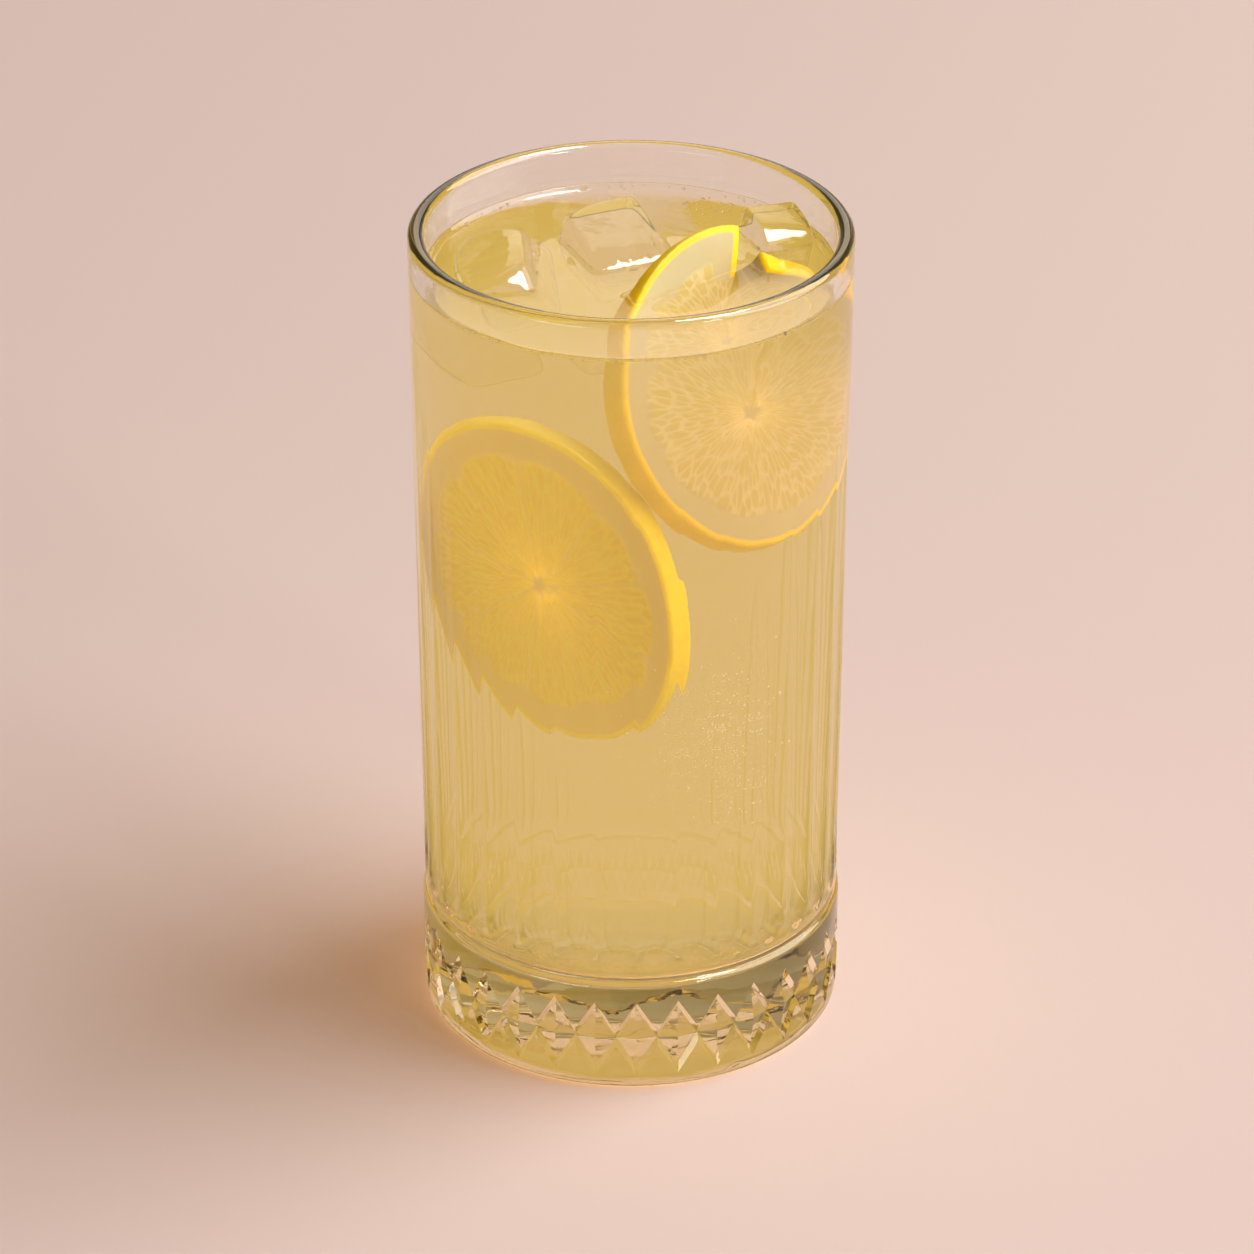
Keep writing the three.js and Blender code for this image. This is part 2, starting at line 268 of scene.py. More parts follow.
glass_rings += rounded(
    flat_floor_radius, FLOOR_HEIGHT + FLOOR_FILLET, FLOOR_FILLET, 0, -90, 12
)
glass_rings += [ring(FLOOR_HEIGHT, share * flat_floor_radius) for share in (0.7, 0.4, 0.1)]

glass = new_piece("fluted_glass", *skin(glass_rings))

# The cuts of the diamonds keep hard edges; everything else is fire-polished smooth
glass_edges = bmesh.new()
glass_edges.from_mesh(glass.data)
for edge in glass_edges.edges:
    heights = [vertex.co.z for vertex in edge.verts]
    in_band = cut_bottom - BAND_SLACK < min(heights) and max(heights) < cut_top + BAND_SLACK
    if in_band and edge.calc_face_angle(0) > FACET_ANGLE:
        edge.smooth = False
glass_edges.to_mesh(glass.data)
glass_edges.free()

glass_material, tree, shader = clear_material("olive tinted glass", GLASS_CLEAR, GLASS_IOR)
add_waves(tree, shader, wave_scale=90, fine_scale=400, fine_share=0.08, height=0.00012)
tint = tree.nodes.new("ShaderNodeVolumeAbsorption")
tint.inputs["Color"].default_value = GLASS_OLIVE
tint.inputs["Density"].default_value = OLIVE_DENSITY
output = tree.nodes["Material Output"]
tree.links.new(tint.outputs["Volume"], output.inputs["Volume"])

# Lamp light passes unbent; the glass tints it for the drink and the ice too, which cast no shadow
passing = tree.nodes.new("ShaderNodeBsdfTransparent")
passing.inputs["Color"].default_value = SHADOW_TINT
surface = with_lamp_light(tree, shader.outputs["BSDF"], passing.outputs["BSDF"])
tree.links.new(surface, output.inputs["Surface"])
glass.data.materials.append(glass_material)
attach(glass, "root")
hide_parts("glass")

# Front lemon wheel: a full slice of lemon, sunk in the drink close to the front left wall.
# Golden flesh in segments with pale membranes, a ring of pith and a band of yellow peel.
FRONT_CENTRE = np.array((-0.0132, -0.0190, 0.0937))
FRONT_TURN = -33
FRONT_LEAN = -4
FRONT_RADIUS = 0.0269
FRONT_OVAL = 1.13
FRONT_OVAL_TURN = math.radians(14)
FRONT_CUPPING = 0.0006
FRONT_THICKNESS = 0.0042
FRONT_FLESH = ((0.85, 0.60, 0.001, 1), (0.92, 0.69, 0.008, 1))
FRONT_PITH = (0.82, 0.62, 0.16, 1)
FRONT_PEEL = ((0.90, 0.64, 0.001, 1), (1.0, 0.83, 0.003, 1))
SLICE_COLUMNS = 420
SLICE_WAVES = (0.006, 0.004)
SEGMENTS = 9
SEGMENT_SHIFT = 0.15
MEMBRANE = 0.00035
MEMBRANE_DEPTH = 0.00014
CORE_EDGE = 0.05
CORE_BLUR = 0.03
FLESH_EDGE = 0.80
FLESH_SWELL = 0.00012
EDGE_WAVE = 0.012
EDGE_BLUR = 0.012
NOTCH_DEPTH = 0.07
NOTCH_WIDTH = 0.0016
CELL_WIDTH = 0.0011
CELL_WIDTH_AT = 0.55
CELL_LENGTH = 0.0042
CELL_STAGGER = 0.35
CELL_SWELL = 0.00016
CELL_BLUR = 0.35
PEEL_EDGE = 0.955
PEEL_ROUNDING = 0.0006
PORE_SPACING = 0.0011
PORE_DEPTH = 0.00013
PORE_REACH = 0.45


def smoothstep(value, start, end):
    """0 at the start, 1 at the end, with a soft rise between."""
    share = np.clip((value - start) / (end - start), 0, 1)
    return share * share * (3 - 2 * share)


def cell_distances(x, y, seed):
    """Distances to the nearest and next nearest of a scatter of points, one in each unit square."""
    wrap = 64
    far = 9.0
    spots = np.random.default_rng(seed).random((wrap, wrap, 2))
    column = np.floor(x).astype(int)
    row = np.floor(y).astype(int)
    nearest = np.full(x.shape, far)
    second = np.full(x.shape, far)
    for step_x in (-1, 0, 1):
        for step_y in (-1, 0, 1):
            spot = spots[(column + step_x) % wrap, (row + step_y) % wrap]
            gap = np.hypot(column + step_x + spot[..., 0] - x, row + step_y + spot[..., 1] - y)
            second = np.minimum(second, np.maximum(nearest, gap))
            nearest = np.minimum(nearest, gap)
    return nearest, second


def slice_profile(thickness, radius):
    """Half-section of a slice, from the middle of one cut face round the peel to the other: share
    of radius, depth, and the face that a point is on, 1 in front, 0 on the peel and -1 behind."""
    flesh = np.linspace(0.03, FLESH_EDGE, 36)
    pith_and_peel = np.linspace(FLESH_EDGE, 1, 16)[1:]
    rounding = PEEL_ROUNDING / radius
    shares = np.concatenate((flesh, pith_and_peel)) * (1 - rounding)
    bend = np.linspace(0, np.pi / 2, 6)[1:]
    rim_shares = shares[-1] + rounding * np.sin(bend)
    rim_depths = PEEL_ROUNDING * (1 - np.cos(bend))
    down = np.linspace(PEEL_ROUNDING, thickness - PEEL_ROUNDING, 12)[1:-1]
    rim_count = 2 * len(bend) + len(down)
    across = np.ones(len(shares))
    share = np.concatenate(
        (shares, rim_shares, np.ones(len(down)), rim_shares[::-1], shares[::-1])
    )
    depth = np.concatenate(
        (0 * across, rim_depths, down, thickness - rim_depths[::-1], thickness * across)
    )
    face = np.concatenate((across, np.zeros(rim_count), -across))
    return share, depth, face


def lemon_slice(name, place, radius, thickness, turns, seed, walls_show, edge_share=None):
    """Slice of lemon as mesh: place() sets a point by share of radius, turn and depth. A full
    slice closes on itself; one whose turns leave a gap gets a cut face on both sides of it.
    walls_show is how plainly the membranes show. edge_share() gives the share of radius whose
    pith and peel a point has, if not its own."""
    random = np.random.default_rng(seed)
    closed = turns[1] - turns[0] >= 1
    profile_share, profile_depth, face = slice_profile(thickness, radius)
    turn_list = np.linspace(*turns, SLICE_COLUMNS, endpoint=not closed)
    turn, share = np.meshgrid(turn_list, profile_share, indexing="ij")
    depth = np.broadcast_to(profile_depth, share.shape)
    face = np.broadcast_to(face, share.shape)
    edge = share if edge_share is None else edge_share(share, turn)

    # Segment walls at uneven turns, meeting the slit if there is one
    order = np.arange(SEGMENTS)
    shifts = random.uniform(-SEGMENT_SHIFT, SEGMENT_SHIFT, SEGMENTS) * (order > 0)
    walls = (order + shifts) / SEGMENTS
    wall_turn = np.abs((turn[..., None] - walls + 0.5) % 1 - 0.5).min(-1)
    wall_gap = wall_turn * 2 * np.pi * share * radius
    membrane = np.exp(-((wall_gap / MEMBRANE) ** 2))

    # Flesh between the core and the pith, notched where the walls meet the pith
    core = CORE_EDGE + EDGE_WAVE * np.sin(2 * np.pi * 5 * turn + seed)
    flesh_edge = FLESH_EDGE + EDGE_WAVE * np.sin(2 * np.pi * 3 * turn + seed)
    flesh_edge = flesh_edge - NOTCH_DEPTH * np.exp(-wall_gap / NOTCH_WIDTH)
    flesh = smoothstep(edge, flesh_edge + EDGE_BLUR, flesh_edge - EDGE_BLUR)
    flesh = flesh * smoothstep(share, core, core + CORE_BLUR)
    flesh = flesh * (1 - walls_show * membrane)

    # Juice cells: long drops that point to the middle of the slice
    sideways = turn * 2 * np.pi * radius * CELL_WIDTH_AT / CELL_WIDTH
    outward = share * radius / CELL_LENGTH + CELL_STAGGER * np.sin(sideways * 0.7)
    nearest, second = cell_distances(sideways, outward, seed)
    juice = smoothstep(second - nearest, 0.0, CELL_BLUR)

    # Peel with pores
    round_the_peel = turn * 2 * np.pi * radius / PORE_SPACING
    pores, _ = cell_distances(round_the_peel, (depth + share * radius) / PORE_SPACING, seed + 1)
    dent = np.where(face == 0, PORE_DEPTH * smoothstep(pores, PORE_REACH, 0.0), 0)
    peel = smoothstep(edge, PEEL_EDGE - EDGE_BLUR / 2, PEEL_EDGE + EDGE_BLUR)
    peel = np.where(face == 0, 1.0, peel)

    swell = flesh * (FLESH_SWELL + CELL_SWELL * juice)
    swell = swell - MEMBRANE_DEPTH * walls_show * membrane * (share > core)
    uneven = SLICE_WAVES[0] * np.sin(2 * np.pi * 2 * turn + seed)
    uneven = uneven + SLICE_WAVES[1] * np.sin(2 * np.pi * 5 * turn + 2 * seed)
    reach = share * (1 + uneven * smoothstep(share, 0.2, 1)) - dent / radius
    points = place(reach, turn, depth - face * swell)

    columns, rows = share.shape
    index = np.arange(columns * rows).reshape(columns, rows)
    ahead = np.roll(index, -1, 0)
    if not closed:
        index, ahead = index[:-1], ahead[:-1]
    quads = np.stack((index[:, :-1], index[:, 1:], ahead[:, 1:], ahead[:, :-1]), -1)
    faces = quads.reshape(-1, 4).tolist()
    front_middle = columns * rows
    back_middle = front_middle + 1
    middles = place(np.zeros(2), np.full(2, turn_list[0]), np.array((0.0, thickness)))
    faces += [[front_middle, a, b] for a, b in zip(index[:, 0].tolist(), ahead[:, 0].tolist())]
    faces += [[back_middle, b, a] for a, b in zip(index[:, -1].tolist(), ahead[:, -1].tolist())]
    if not closed:
        last = (columns - 1) * rows
        for row in range(rows // 2):
            other = rows - 1 - row
            if row + 1 < other - 1:
                faces.append([row + 1, row, other, other - 1])
                faces.append([last + row, last + row + 1, last + other - 1, last + other])
            elif row + 1 < other:
                faces.append([row + 1, row, other])
                faces.append([last + row, last + row + 1, last + other])
        faces.append([0, front_middle, back_middle, rows - 1])
        faces.append([last, last + rows - 1, back_middle, front_middle])
    piece = new_piece(name, np.vstack((points.reshape(-1, 3), middles)), faces)
    for attribute, values in (("flesh", flesh), ("juice", juice), ("peel", peel)):
        layer = piece.data.attributes.new(attribute, "FLOAT", "POINT")
        layer.data.foreach_set("value", np.append(values.ravel(), (0, 0)).astype(np.float32))
    return piece


def face_directions(turn, lean):
    """Out of a slice's face, along it level, and along it upwards."""
    turn = math.radians(turn)
    lean = math.radians(lean)
    out = np.array(
        (math.sin(turn) * math.cos(lean), -math.cos(turn) * math.cos(lean), math.sin(lean))
    )
    along = np.array((math.cos(turn), math.sin(turn), 0))
    return out, along, np.cross(out, along)


def front_place(share, turn, depth):
    """Place of a point of the front wheel, which is a little oval and cupped."""
    out, along, up = face_directions(FRONT_TURN, FRONT_LEAN)
    angle = 2 * np.pi * turn
    reach = share * FRONT_RADIUS
    cupped = FRONT_CUPPING * share ** 2 * np.cos(2 * angle)
    wide = reach * np.cos(angle) / FRONT_OVAL
    high = reach * np.sin(angle) * FRONT_OVAL
    cos_turn, sin_turn = math.cos(FRONT_OVAL_TURN), math.sin(FRONT_OVAL_TURN)
    offset = np.multiply.outer(wide * cos_turn - high * sin_turn, along)
    offset += np.multiply.outer(wide * sin_turn + high * cos_turn, up)
    return FRONT_CENTRE + offset + np.multiply.outer(cupped - depth, out)


def product(tree, first, second):
    node = tree.nodes.new("ShaderNodeMath")
    node.operation = "MULTIPLY"
    tree.links.new(first, node.inputs[0])
    tree.links.new(second, node.inputs[1])
    return node.outputs["Value"]


def rescaled(tree, value, start, end, low, high):
    """Runs from low to high while the given value runs from start to end."""
    node = tree.nodes.new("ShaderNodeMapRange")
    ends = (("From Min", start), ("From Max", end), ("To Min", low), ("To Max", high))
    for socket, number in ends:
        node.inputs[socket].default_value = number
    tree.links.new(value, node.inputs["Value"])
    return node.outputs["Result"]


def lemon_material(name, flesh_colours, pith_colour, peel_colours):
    """Cut lemon: flesh with paler gaps between its juice cells, pith, membranes and yellow peel."""
    material, tree, shader = new_material(name)

    def layer(attribute):
        node = tree.nodes.new("ShaderNodeAttribute")
        node.attribute_name = attribute
        return node.outputs["Fac"]

    def mix(factor, first, second):
        node = tree.nodes.new("ShaderNodeMix")
        node.data_type = "RGBA"
        tree.links.new(factor, node.inputs["Factor"])
        for socket, value in (("A", first), ("B", second)):
            target = [s for s in node.inputs if s.name == socket and s.type == "RGBA"][0]
            if isinstance(value, tuple):
                target.default_value = value
            else:
                tree.links.new(value, target)
        return [s for s in node.outputs if s.type == "RGBA"][0]

    place = tree.nodes.new("ShaderNodeTexCoord")
    cloud = tree.nodes.new("ShaderNodeTexNoise")
    cloud.inputs["Scale"].default_value = 260
    cloud.inputs["Detail"].default_value = 3
    tree.links.new(place.outputs["Object"], cloud.inputs["Vector"])
    blotches = cloud.outputs["Fac"]
    streaks = rescaled(tree, product(tree, layer("juice"), blotches), 0.05, 0.5, 0, 1)
    flesh = mix(streaks, flesh_colours[1], flesh_colours[0])
    inside = mix(layer("flesh"), pith_colour, flesh)
    peel = mix(blotches, *peel_colours)
    tree.links.new(mix(layer("peel"), inside, peel), shader.inputs["Base Color"])
    tree.links.new(rescaled(tree, blotches, 0, 1, 0.28, 0.5), shader.inputs["Roughness"])
    shader.subsurface_method = "BURLEY"
    shader.inputs["Subsurface Weight"].default_value = 0.9
    shader.inputs["Subsurface Radius"].default_value = (1, 0.75, 0.25)
    shader.inputs["Subsurface Scale"].default_value = 0.0035
    shader.inputs["Specular IOR Level"].default_value = 0.2
    bump = tree.nodes.new("ShaderNodeBump")
    bump.inputs["Distance"].default_value = 0.0002
    bump.inputs["Strength"].default_value = 0.5
    tree.links.new(blotches, bump.inputs["Height"])
    tree.links.new(bump.outputs["Normal"], shader.inputs["Normal"])
    return material


front_wheel = lemon_slice(
    "front_lemon_wheel", front_place, FRONT_RADIUS, FRONT_THICKNESS, (0, 1), seed=3, walls_show=0.4
)
golden_lemon = lemon_material("golden cut lemon", FRONT_FLESH, FRONT_PITH, FRONT_PEEL)
front_wheel.data.materials.append(golden_lemon)
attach(front_wheel, "root")

# Slit lemon wheel: a slice cut from its middle to its rim, pushed in at the right.
# One flap of the cut stands out of the drink as a corner, the other is bent round by the wall.
WHEEL_CENTRE = np.array((0.0162, -0.0091, 0.123))
WHEEL_TURN = 52
WHEEL_LEAN = 26.5
WHEEL_RADIUS = 0.0247
WHEEL_THICKNESS = 0.0044
SLIT_ANGLE = 59
SLIT_HALF_WIDTH = 2.5
CORNER_START = 0.25
CORNER_RISE = 0.004
CORNER_FORWARD = 0.0038
CORNER_SPREAD = 65
CORNER_THINNING = 0.7
THINNING_SPREAD = 85
CORNER_PEEL_START = 0.68
CORNER_PEEL_BLUR = 0.05
BEND_DIRECTION = math.radians(49)
BEND_START = 0.0089
BEND_RADIUS = 0.0093
BEND_LIMIT = math.radians(56)
# The slit wheel's own paler tone, with painted shade: its colours are darker to offset the strong
# lamp light on it
SLIT_FLESH_SHADED = ((0.51, 0.39, 0.11, 1), (0.60, 0.49, 0.23, 1))
SLIT_PITH_SHADED = (0.50, 0.41, 0.20, 1)
SLIT_PEEL_SHADED = ((0.78, 0.50, 0.001, 1), (0.94, 0.66, 0.002, 1))


def slit_place(share, turn, depth):
    """Place of a point of the slit wheel: the flap after the slit rises to a thin corner, and the
    flap before it rolls forward."""
    after_slit = turn * 360
    angle = np.radians(SLIT_ANGLE + after_slit)
    corner = 1 - smoothstep(after_slit, 0, CORNER_SPREAD)
    corner = corner * smoothstep(share, CORNER_START, 1)
    reach = share * (WHEEL_RADIUS + CORNER_RISE * corner)
    along = reach * np.cos(angle)
    up = reach * np.sin(angle)
    cos_bend, sin_bend = math.cos(BEND_DIRECTION), math.sin(BEND_DIRECTION)
    across = along * cos_bend + up * sin_bend
    beside = up * cos_bend - along * sin_bend
    bent = np.where(after_slit > 180, np.maximum(0, across - BEND_START), 0)
    turned = np.minimum(bent / BEND_RADIUS, BEND_LIMIT)
    straight = bent - turned * BEND_RADIUS
    across = across - bent + BEND_RADIUS * np.sin(turned) + straight * np.cos(turned)
    forward = BEND_RADIUS * (1 - np.cos(turned)) + straight * np.sin(turned)
    forward = forward + CORNER_FORWARD * corner
    depth = depth * (1 - CORNER_THINNING * (1 - smoothstep(after_slit, 0, THINNING_SPREAD)))
    across = across + depth * np.sin(turned)
    forward = forward - depth * np.cos(turned)
    along = across * cos_bend - beside * sin_bend
    up = across * sin_bend + beside * cos_bend
    out_way, along_way, up_way = face_directions(WHEEL_TURN, WHEEL_LEAN)
    offset = np.multiply.outer(along, along_way) + np.multiply.outer(up, up_way)
    return WHEEL_CENTRE + offset + np.multiply.outer(forward, out_way)


def corner_edge(share, turn):
    """The peel goes on round the corner and a little way down the slit."""
    from_slit = (turn * 360 - SLIT_HALF_WIDTH) / 360 * 2 * np.pi * share
    outer = smoothstep(share, CORNER_PEEL_START - CORNER_PEEL_BLUR, CORNER_PEEL_START)
    return np.maximum(share, (1 - from_slit) * outer)


slit_turns = (SLIT_HALF_WIDTH / 360, 1 - SLIT_HALF_WIDTH / 360)
slit_wheel = lemon_slice(
    "slit_lemon_wheel", slit_place, WHEEL_RADIUS, WHEEL_THICKNESS, slit_turns, seed=8,
    walls_show=0.12, edge_share=corner_edge
)
# Lemon material whose darker colours carry painted shade
pale_shaded_lemon = lemon_material("pale cut lemon with painted shade", SLIT_FLESH_SHADED, SLIT_PITH_SHADED, SLIT_PEEL_SHADED)
slit_wheel.data.materials.append(pale_shaded_lemon)
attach(slit_wheel, "root")
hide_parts("lemon_wheel")

# Floating ice: three lumps of clear, half-melted ice that stand out of the drink.
# Each is a block with chipped faces, rounded edges and a slow, melted unevenness.
ICE_CLEAR = (0.99, 0.99, 0.98, 1)
ICE_IOR = 1.335
ICE_ROUGHNESS = 0.02
ICE_STEPS = 30
ICE_CRISPNESS = 15
CHIPS = 7
CHIP_KEEP = (0.74, 0.88)
GLINT_WAY = np.array((0.22, -0.55, 0.806))
GLINT_KEEP = 0.76
MELT_DEPTH = 0.0003
MELT_SCALE = 130
FLOATING_ICE = {
    "ice_left": dict(
        middle=(-0.0214, 0.0024, 0.1363), size=(0.0145, 0.025, 0.017),
        turn=(3, -21, 2), taper=0.1, seed=1
    ),
    "ice_middle": dict(
        middle=(-0.0026, 0.0096, 0.1368), size=(0.0145, 0.022, 0.016),
        turn=(13, 0, 24), taper=-0.08, seed=2
    ),
    "ice_right": dict(
        middle=(0.0250, 0.0142, 0.1394), size=(0.011, 0.012, 0.013),
        turn=(8, 6, 24), taper=0.06, seed=3
    ),
}


def ice_block(size, taper, seed, grow, glint):
    """Points and faces of a lump of ice about its own middle: the flat sides of a block and its
    chips melt into each other along rounded edges. glint is one more chipped face."""
    block = bmesh.new()
    bmesh.ops.create_cube(block, size=2)
    bmesh.ops.subdivide_edges(block, edges=block.edges[:], cuts=ICE_STEPS, use_grid_fill=True)
    half = np.array(size) / 2
    ways = np.array([vertex.co for vertex in block.verts]) * half
    ways /= np.linalg.norm(ways, axis=1, keepdims=True)
    faces = [[vertex.index for vertex in face.verts] for face in block.faces]
    block.free()
    random = np.random.default_rng(seed)
    chips = np.vstack((random.normal(size=(CHIPS, 3)), glint))
    chips /= np.linalg.norm(chips, axis=1, keepdims=True)
    keeps = np.append(random.uniform(*CHIP_KEEP, CHIPS), GLINT_KEEP)
    sides = np.vstack((np.eye(3), -np.eye(3), chips))
    reaches = np.concatenate((half, half, keeps * (np.abs(chips) @ half)))
    towards = np.maximum(0, ways @ sides.T / reaches)
    reach = (towards ** ICE_CRISPNESS).sum(1) ** (-1 / ICE_CRISPNESS)
    points = ways * reach[:, None]
    shift = Vector(random.uniform(0, 50, 3))
    melt = np.array([noise.noise(Vector(point) * MELT_SCALE + shift) for point in points])
    points += ways * (MELT_DEPTH * (melt - 1) + grow)[:, None]
    points[:, :2] *= 1 - taper * points[:, 2:] / half[2]
    return points, faces


def ice_lump(name, middle, size, turn, taper, seed, grow=0.0):
    """Lump of ice in its place; grow makes it larger all round."""
    pose = np.array(Euler([math.radians(angle) for angle in turn], "XYZ").to_matrix())
    points, faces = ice_block(size, taper, seed, grow, GLINT_WAY @ pose)
    return new_piece(name, points @ pose.T + np.array(middle), faces)


clear_ice, tree, shader = clear_material("melting ice", ICE_CLEAR, ICE_IOR, ICE_ROUGHNESS)
add_waves(tree, shader, wave_scale=200, fine_scale=900, fine_share=0.15, height=0.0002)
floating = []
for node, shape in FLOATING_ICE.items():
    piece = ice_lump("melted_" + node, **shape)
    piece.data.materials.append(clear_ice)
    piece.visible_shadow = False
    piece.visible_diffuse = False
    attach(piece, "root")
    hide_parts(node)
    floating.append(piece)

# Lemonade: cloudy pressed lemon juice and water, poured to a little under the rim.
# It wets the glass, the ice and the lemon, so its surface climbs a little wherever it meets them.
LEVEL = 0.1414
INTO_WALL = 0.00015
INTO_ICE = 0.00012
CREEP = 0.0013
CREEP_REACH = 0.0008
CREEP_BELOW = 0.002
CREEP_ROUND_PIECES = 0.5 * CREEP
RIPPLE_HEIGHT = 0.00012
RIPPLE_SCALE = 90
DRINK_RINGS = 64
RING_CROWDING = 1.5
WATERLINE_ANGLE = math.radians(50)
DRINK_IOR = 1.34
DRINK_TINT = (0.985, 0.97, 0.93, 1)
# The drink's cloudiness, and the painted glow that stands in for light scattered by its pulp
CLOUD_DENSITY = 58
CLOUD_PASSES = (0.20, 0.16, 0.50, 1)
CLOUD_PAINTED_GLOW = (1.0, 0.69, 0.098, 1)
PAINTED_GLOW_BRIGHTNESS = 0.72
ICE_CLOUD_AND_GLOW = 0.85

standing = []
for piece in [slit_wheel] + floating:
    points = [vertex.co.copy() for vertex in piece.data.vertices]
    faces = [tuple(face.vertices) for face in piece.data.polygons]
    standing.append(BVHTree.FromPolygons(points, faces))


def drink_surface(x, y):
    """Height of the drink's surface: it climbs at the wall and round what stands in it."""
    to_wall = inside_radius(LEVEL) - np.hypot(x, y)
    height = LEVEL + CREEP * np.exp(-np.maximum(to_wall, 0) / CREEP_REACH)
    ripple = [noise.noise(Vector((a * RIPPLE_SCALE, b * RIPPLE_SCALE, 0))) for a, b in zip(x, y)]
    height += RIPPLE_HEIGHT * np.array(ripple)
    for shape in standing:
        near = np.array([shape.find_nearest(Vector((a, b, LEVEL)))[3] for a, b in zip(x, y)])
        height += CREEP_ROUND_PIECES * np.exp(-near / CREEP_REACH)
    return height


drink_floor = FLOOR_HEIGHT - INTO_WALL
drink_rings = [ring(drink_floor, share * flat_floor_radius) for share in (0.1, 0.5)]
drink_rings += rounded(
    flat_floor_radius, FLOOR_HEIGHT + FLOOR_FILLET, FLOOR_FILLET + INTO_WALL, -90, 0, 12
)
side_heights = np.linspace(INNER_WALL_BOTTOM, LEVEL - CREEP_BELOW, 12)
drink_rings += [ring(z, inside_radius(z) + INTO_WALL) for z in side_heights]
wall_radius = inside_radius(LEVEL) + INTO_WALL
for share in 1 - np.linspace(0, 1, DRINK_RINGS, endpoint=False) ** RING_CROWDING:
    surface_ring = ring(LEVEL, wall_radius * share)
    surface_ring[:, 2] = drink_surface(surface_ring[:, 0], surface_ring[:, 1])
    drink_rings.append(surface_ring)
lemonade = new_piece("cloudy_lemonade", *skin(drink_rings))


def cut_away(piece, cutter):
    """Takes one closed mesh out of another for good, and throws it away."""
    cut = piece.modifiers.new("cut", "BOOLEAN")
    cut.operation = "DIFFERENCE"
    cut.solver = "MANIFOLD"
    cut.object = cutter
    with bpy.context.temp_override(object=piece, active_object=piece):
        bpy.ops.object.modifier_apply(modifier=cut.name)
    bpy.data.objects.remove(cutter)


# The room for each lump of ice is a hair too small, so no air shows between drink and ice
for shape in FLOATING_ICE.values():
    cut_away(lemonade, ice_lump("ice_room", **shape, grow=-INTO_ICE))

# Cutting leaves an empty material slot; the edges along the waterline are made sharp
lemonade.data.materials.clear()
lemonade.data.shade_smooth()
lemonade.data.set_sharp_from_angle(angle=WATERLINE_ANGLE)


def add_cloud_and_glow(tree, share):
    """Cloudy juice as a volume. The fine pulp spreads lamp light so evenly through the whole drink
    that it is painted in as a faint, even glow of the volume; lamp light itself passes."""
    cloud = tree.nodes.new("ShaderNodeVolumeAbsorption")
    cloud.inputs["Color"].default_value = CLOUD_PASSES
    cloud.inputs["Density"].default_value = CLOUD_DENSITY * share
    # Painted glow: emission stands in for lamp light scattered by the pulp
    glow = tree.nodes.new("ShaderNodeEmission")
    glow.inputs["Color"].default_value = CLOUD_PAINTED_GLOW
    brightness = PAINTED_GLOW_BRIGHTNESS * (1 - CLOUD_PASSES[0]) * CLOUD_DENSITY * share
    glow.inputs["Strength"].default_value = brightness
    both = tree.nodes.new("ShaderNodeAddShader")
    tree.links.new(cloud.outputs["Volume"], both.inputs[0])
    tree.links.new(glow.outputs["Emission"], both.inputs[1])
    volume = with_lamp_light(tree, both.outputs["Shader"])
    tree.links.new(volume, tree.nodes["Material Output"].inputs["Volume"])


# The half-melted ice is nearly as cloudy as the drink and gets the same painted glow
lemonade_material, tree, _ = clear_material("cloudy lemonade", DRINK_TINT, DRINK_IOR)
add_cloud_and_glow(tree, 1)
add_cloud_and_glow(clear_ice.node_tree, ICE_CLOUD_AND_GLOW)
lemonade.data.materials.append(lemonade_material)
lemonade.visible_shadow = False
lemonade.visible_diffuse = False
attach(lemonade, "root")
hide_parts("lemonade")

# Bubbles and frost: air bubbles gathered along the waterline, round the ice and at the back, and
# flecks of frost that the ice has shed, hanging in the drink. All are under a millimetre.
BUBBLE_CLEAR = (0.99, 0.97, 0.92, 1)
BUBBLE_SIZES = (0.00014, 0.0004)
BUBBLE_STRETCH = (1, 1, 0.8)
WATERLINE_BUBBLES = 130
WATERLINE_SPREAD = 0.0003
ICE_BUBBLES = 16
ICE_BAND = 0.0008
BACK_BUBBLES = 26
BACK_TURNS = (math.radians(48), math.radians(74))
BACK_RADII = (0.026, 0.034)
WALL_CLEARANCE = 0.001
FROST_FLECKS = 520
FROST_CENTRE = (0.0155, -0.0245, 0.0655)
FROST_SPREAD = (0.0062, 0.0024, 0.0075)
FROST_SIZES = (0.00005, 0.00014)
FROST_STRETCH = (1, 2.2, 1)
FROST_WHITE = (0.96, 0.89, 0.70, 1)
bead_random = np.random.default_rng(11)


def beads(name, places, sizes, stretch, fineness):
    """Many small rounded beads as one mesh; stretch is out from the axis, round it and upwards."""
    ball = bmesh.new()
    bmesh.ops.create_icosphere(ball, subdivisions=fineness, radius=1)
    shape = np.array([vertex.co for vertex in ball.verts]) * stretch
    faces = np.array([[vertex.index for vertex in face.verts] for face in ball.faces])
    ball.free()
    around = np.arctan2(places[:, 1], places[:, 0])
    level = np.zeros(len(around))
    outward = np.column_stack((np.cos(around), np.sin(around), level))
    sideways = np.column_stack((-np.sin(around), np.cos(around), level))
    upward = np.column_stack((level, level, level + 1))
    turned = shape @ np.stack((outward, sideways, upward), 1)
    points = places[:, None] + sizes[:, None, None] * turned
    shifts = np.arange(len(places)) * len(shape)
    faces = faces + shifts[:, None, None]
    return new_piece(name, points.reshape(-1, 3), faces.reshape(-1, 3).tolist())


def afloat(x, y):
    """Places on the drink's surface."""
    return np.column_stack((x, y, drink_surface(x, y)))


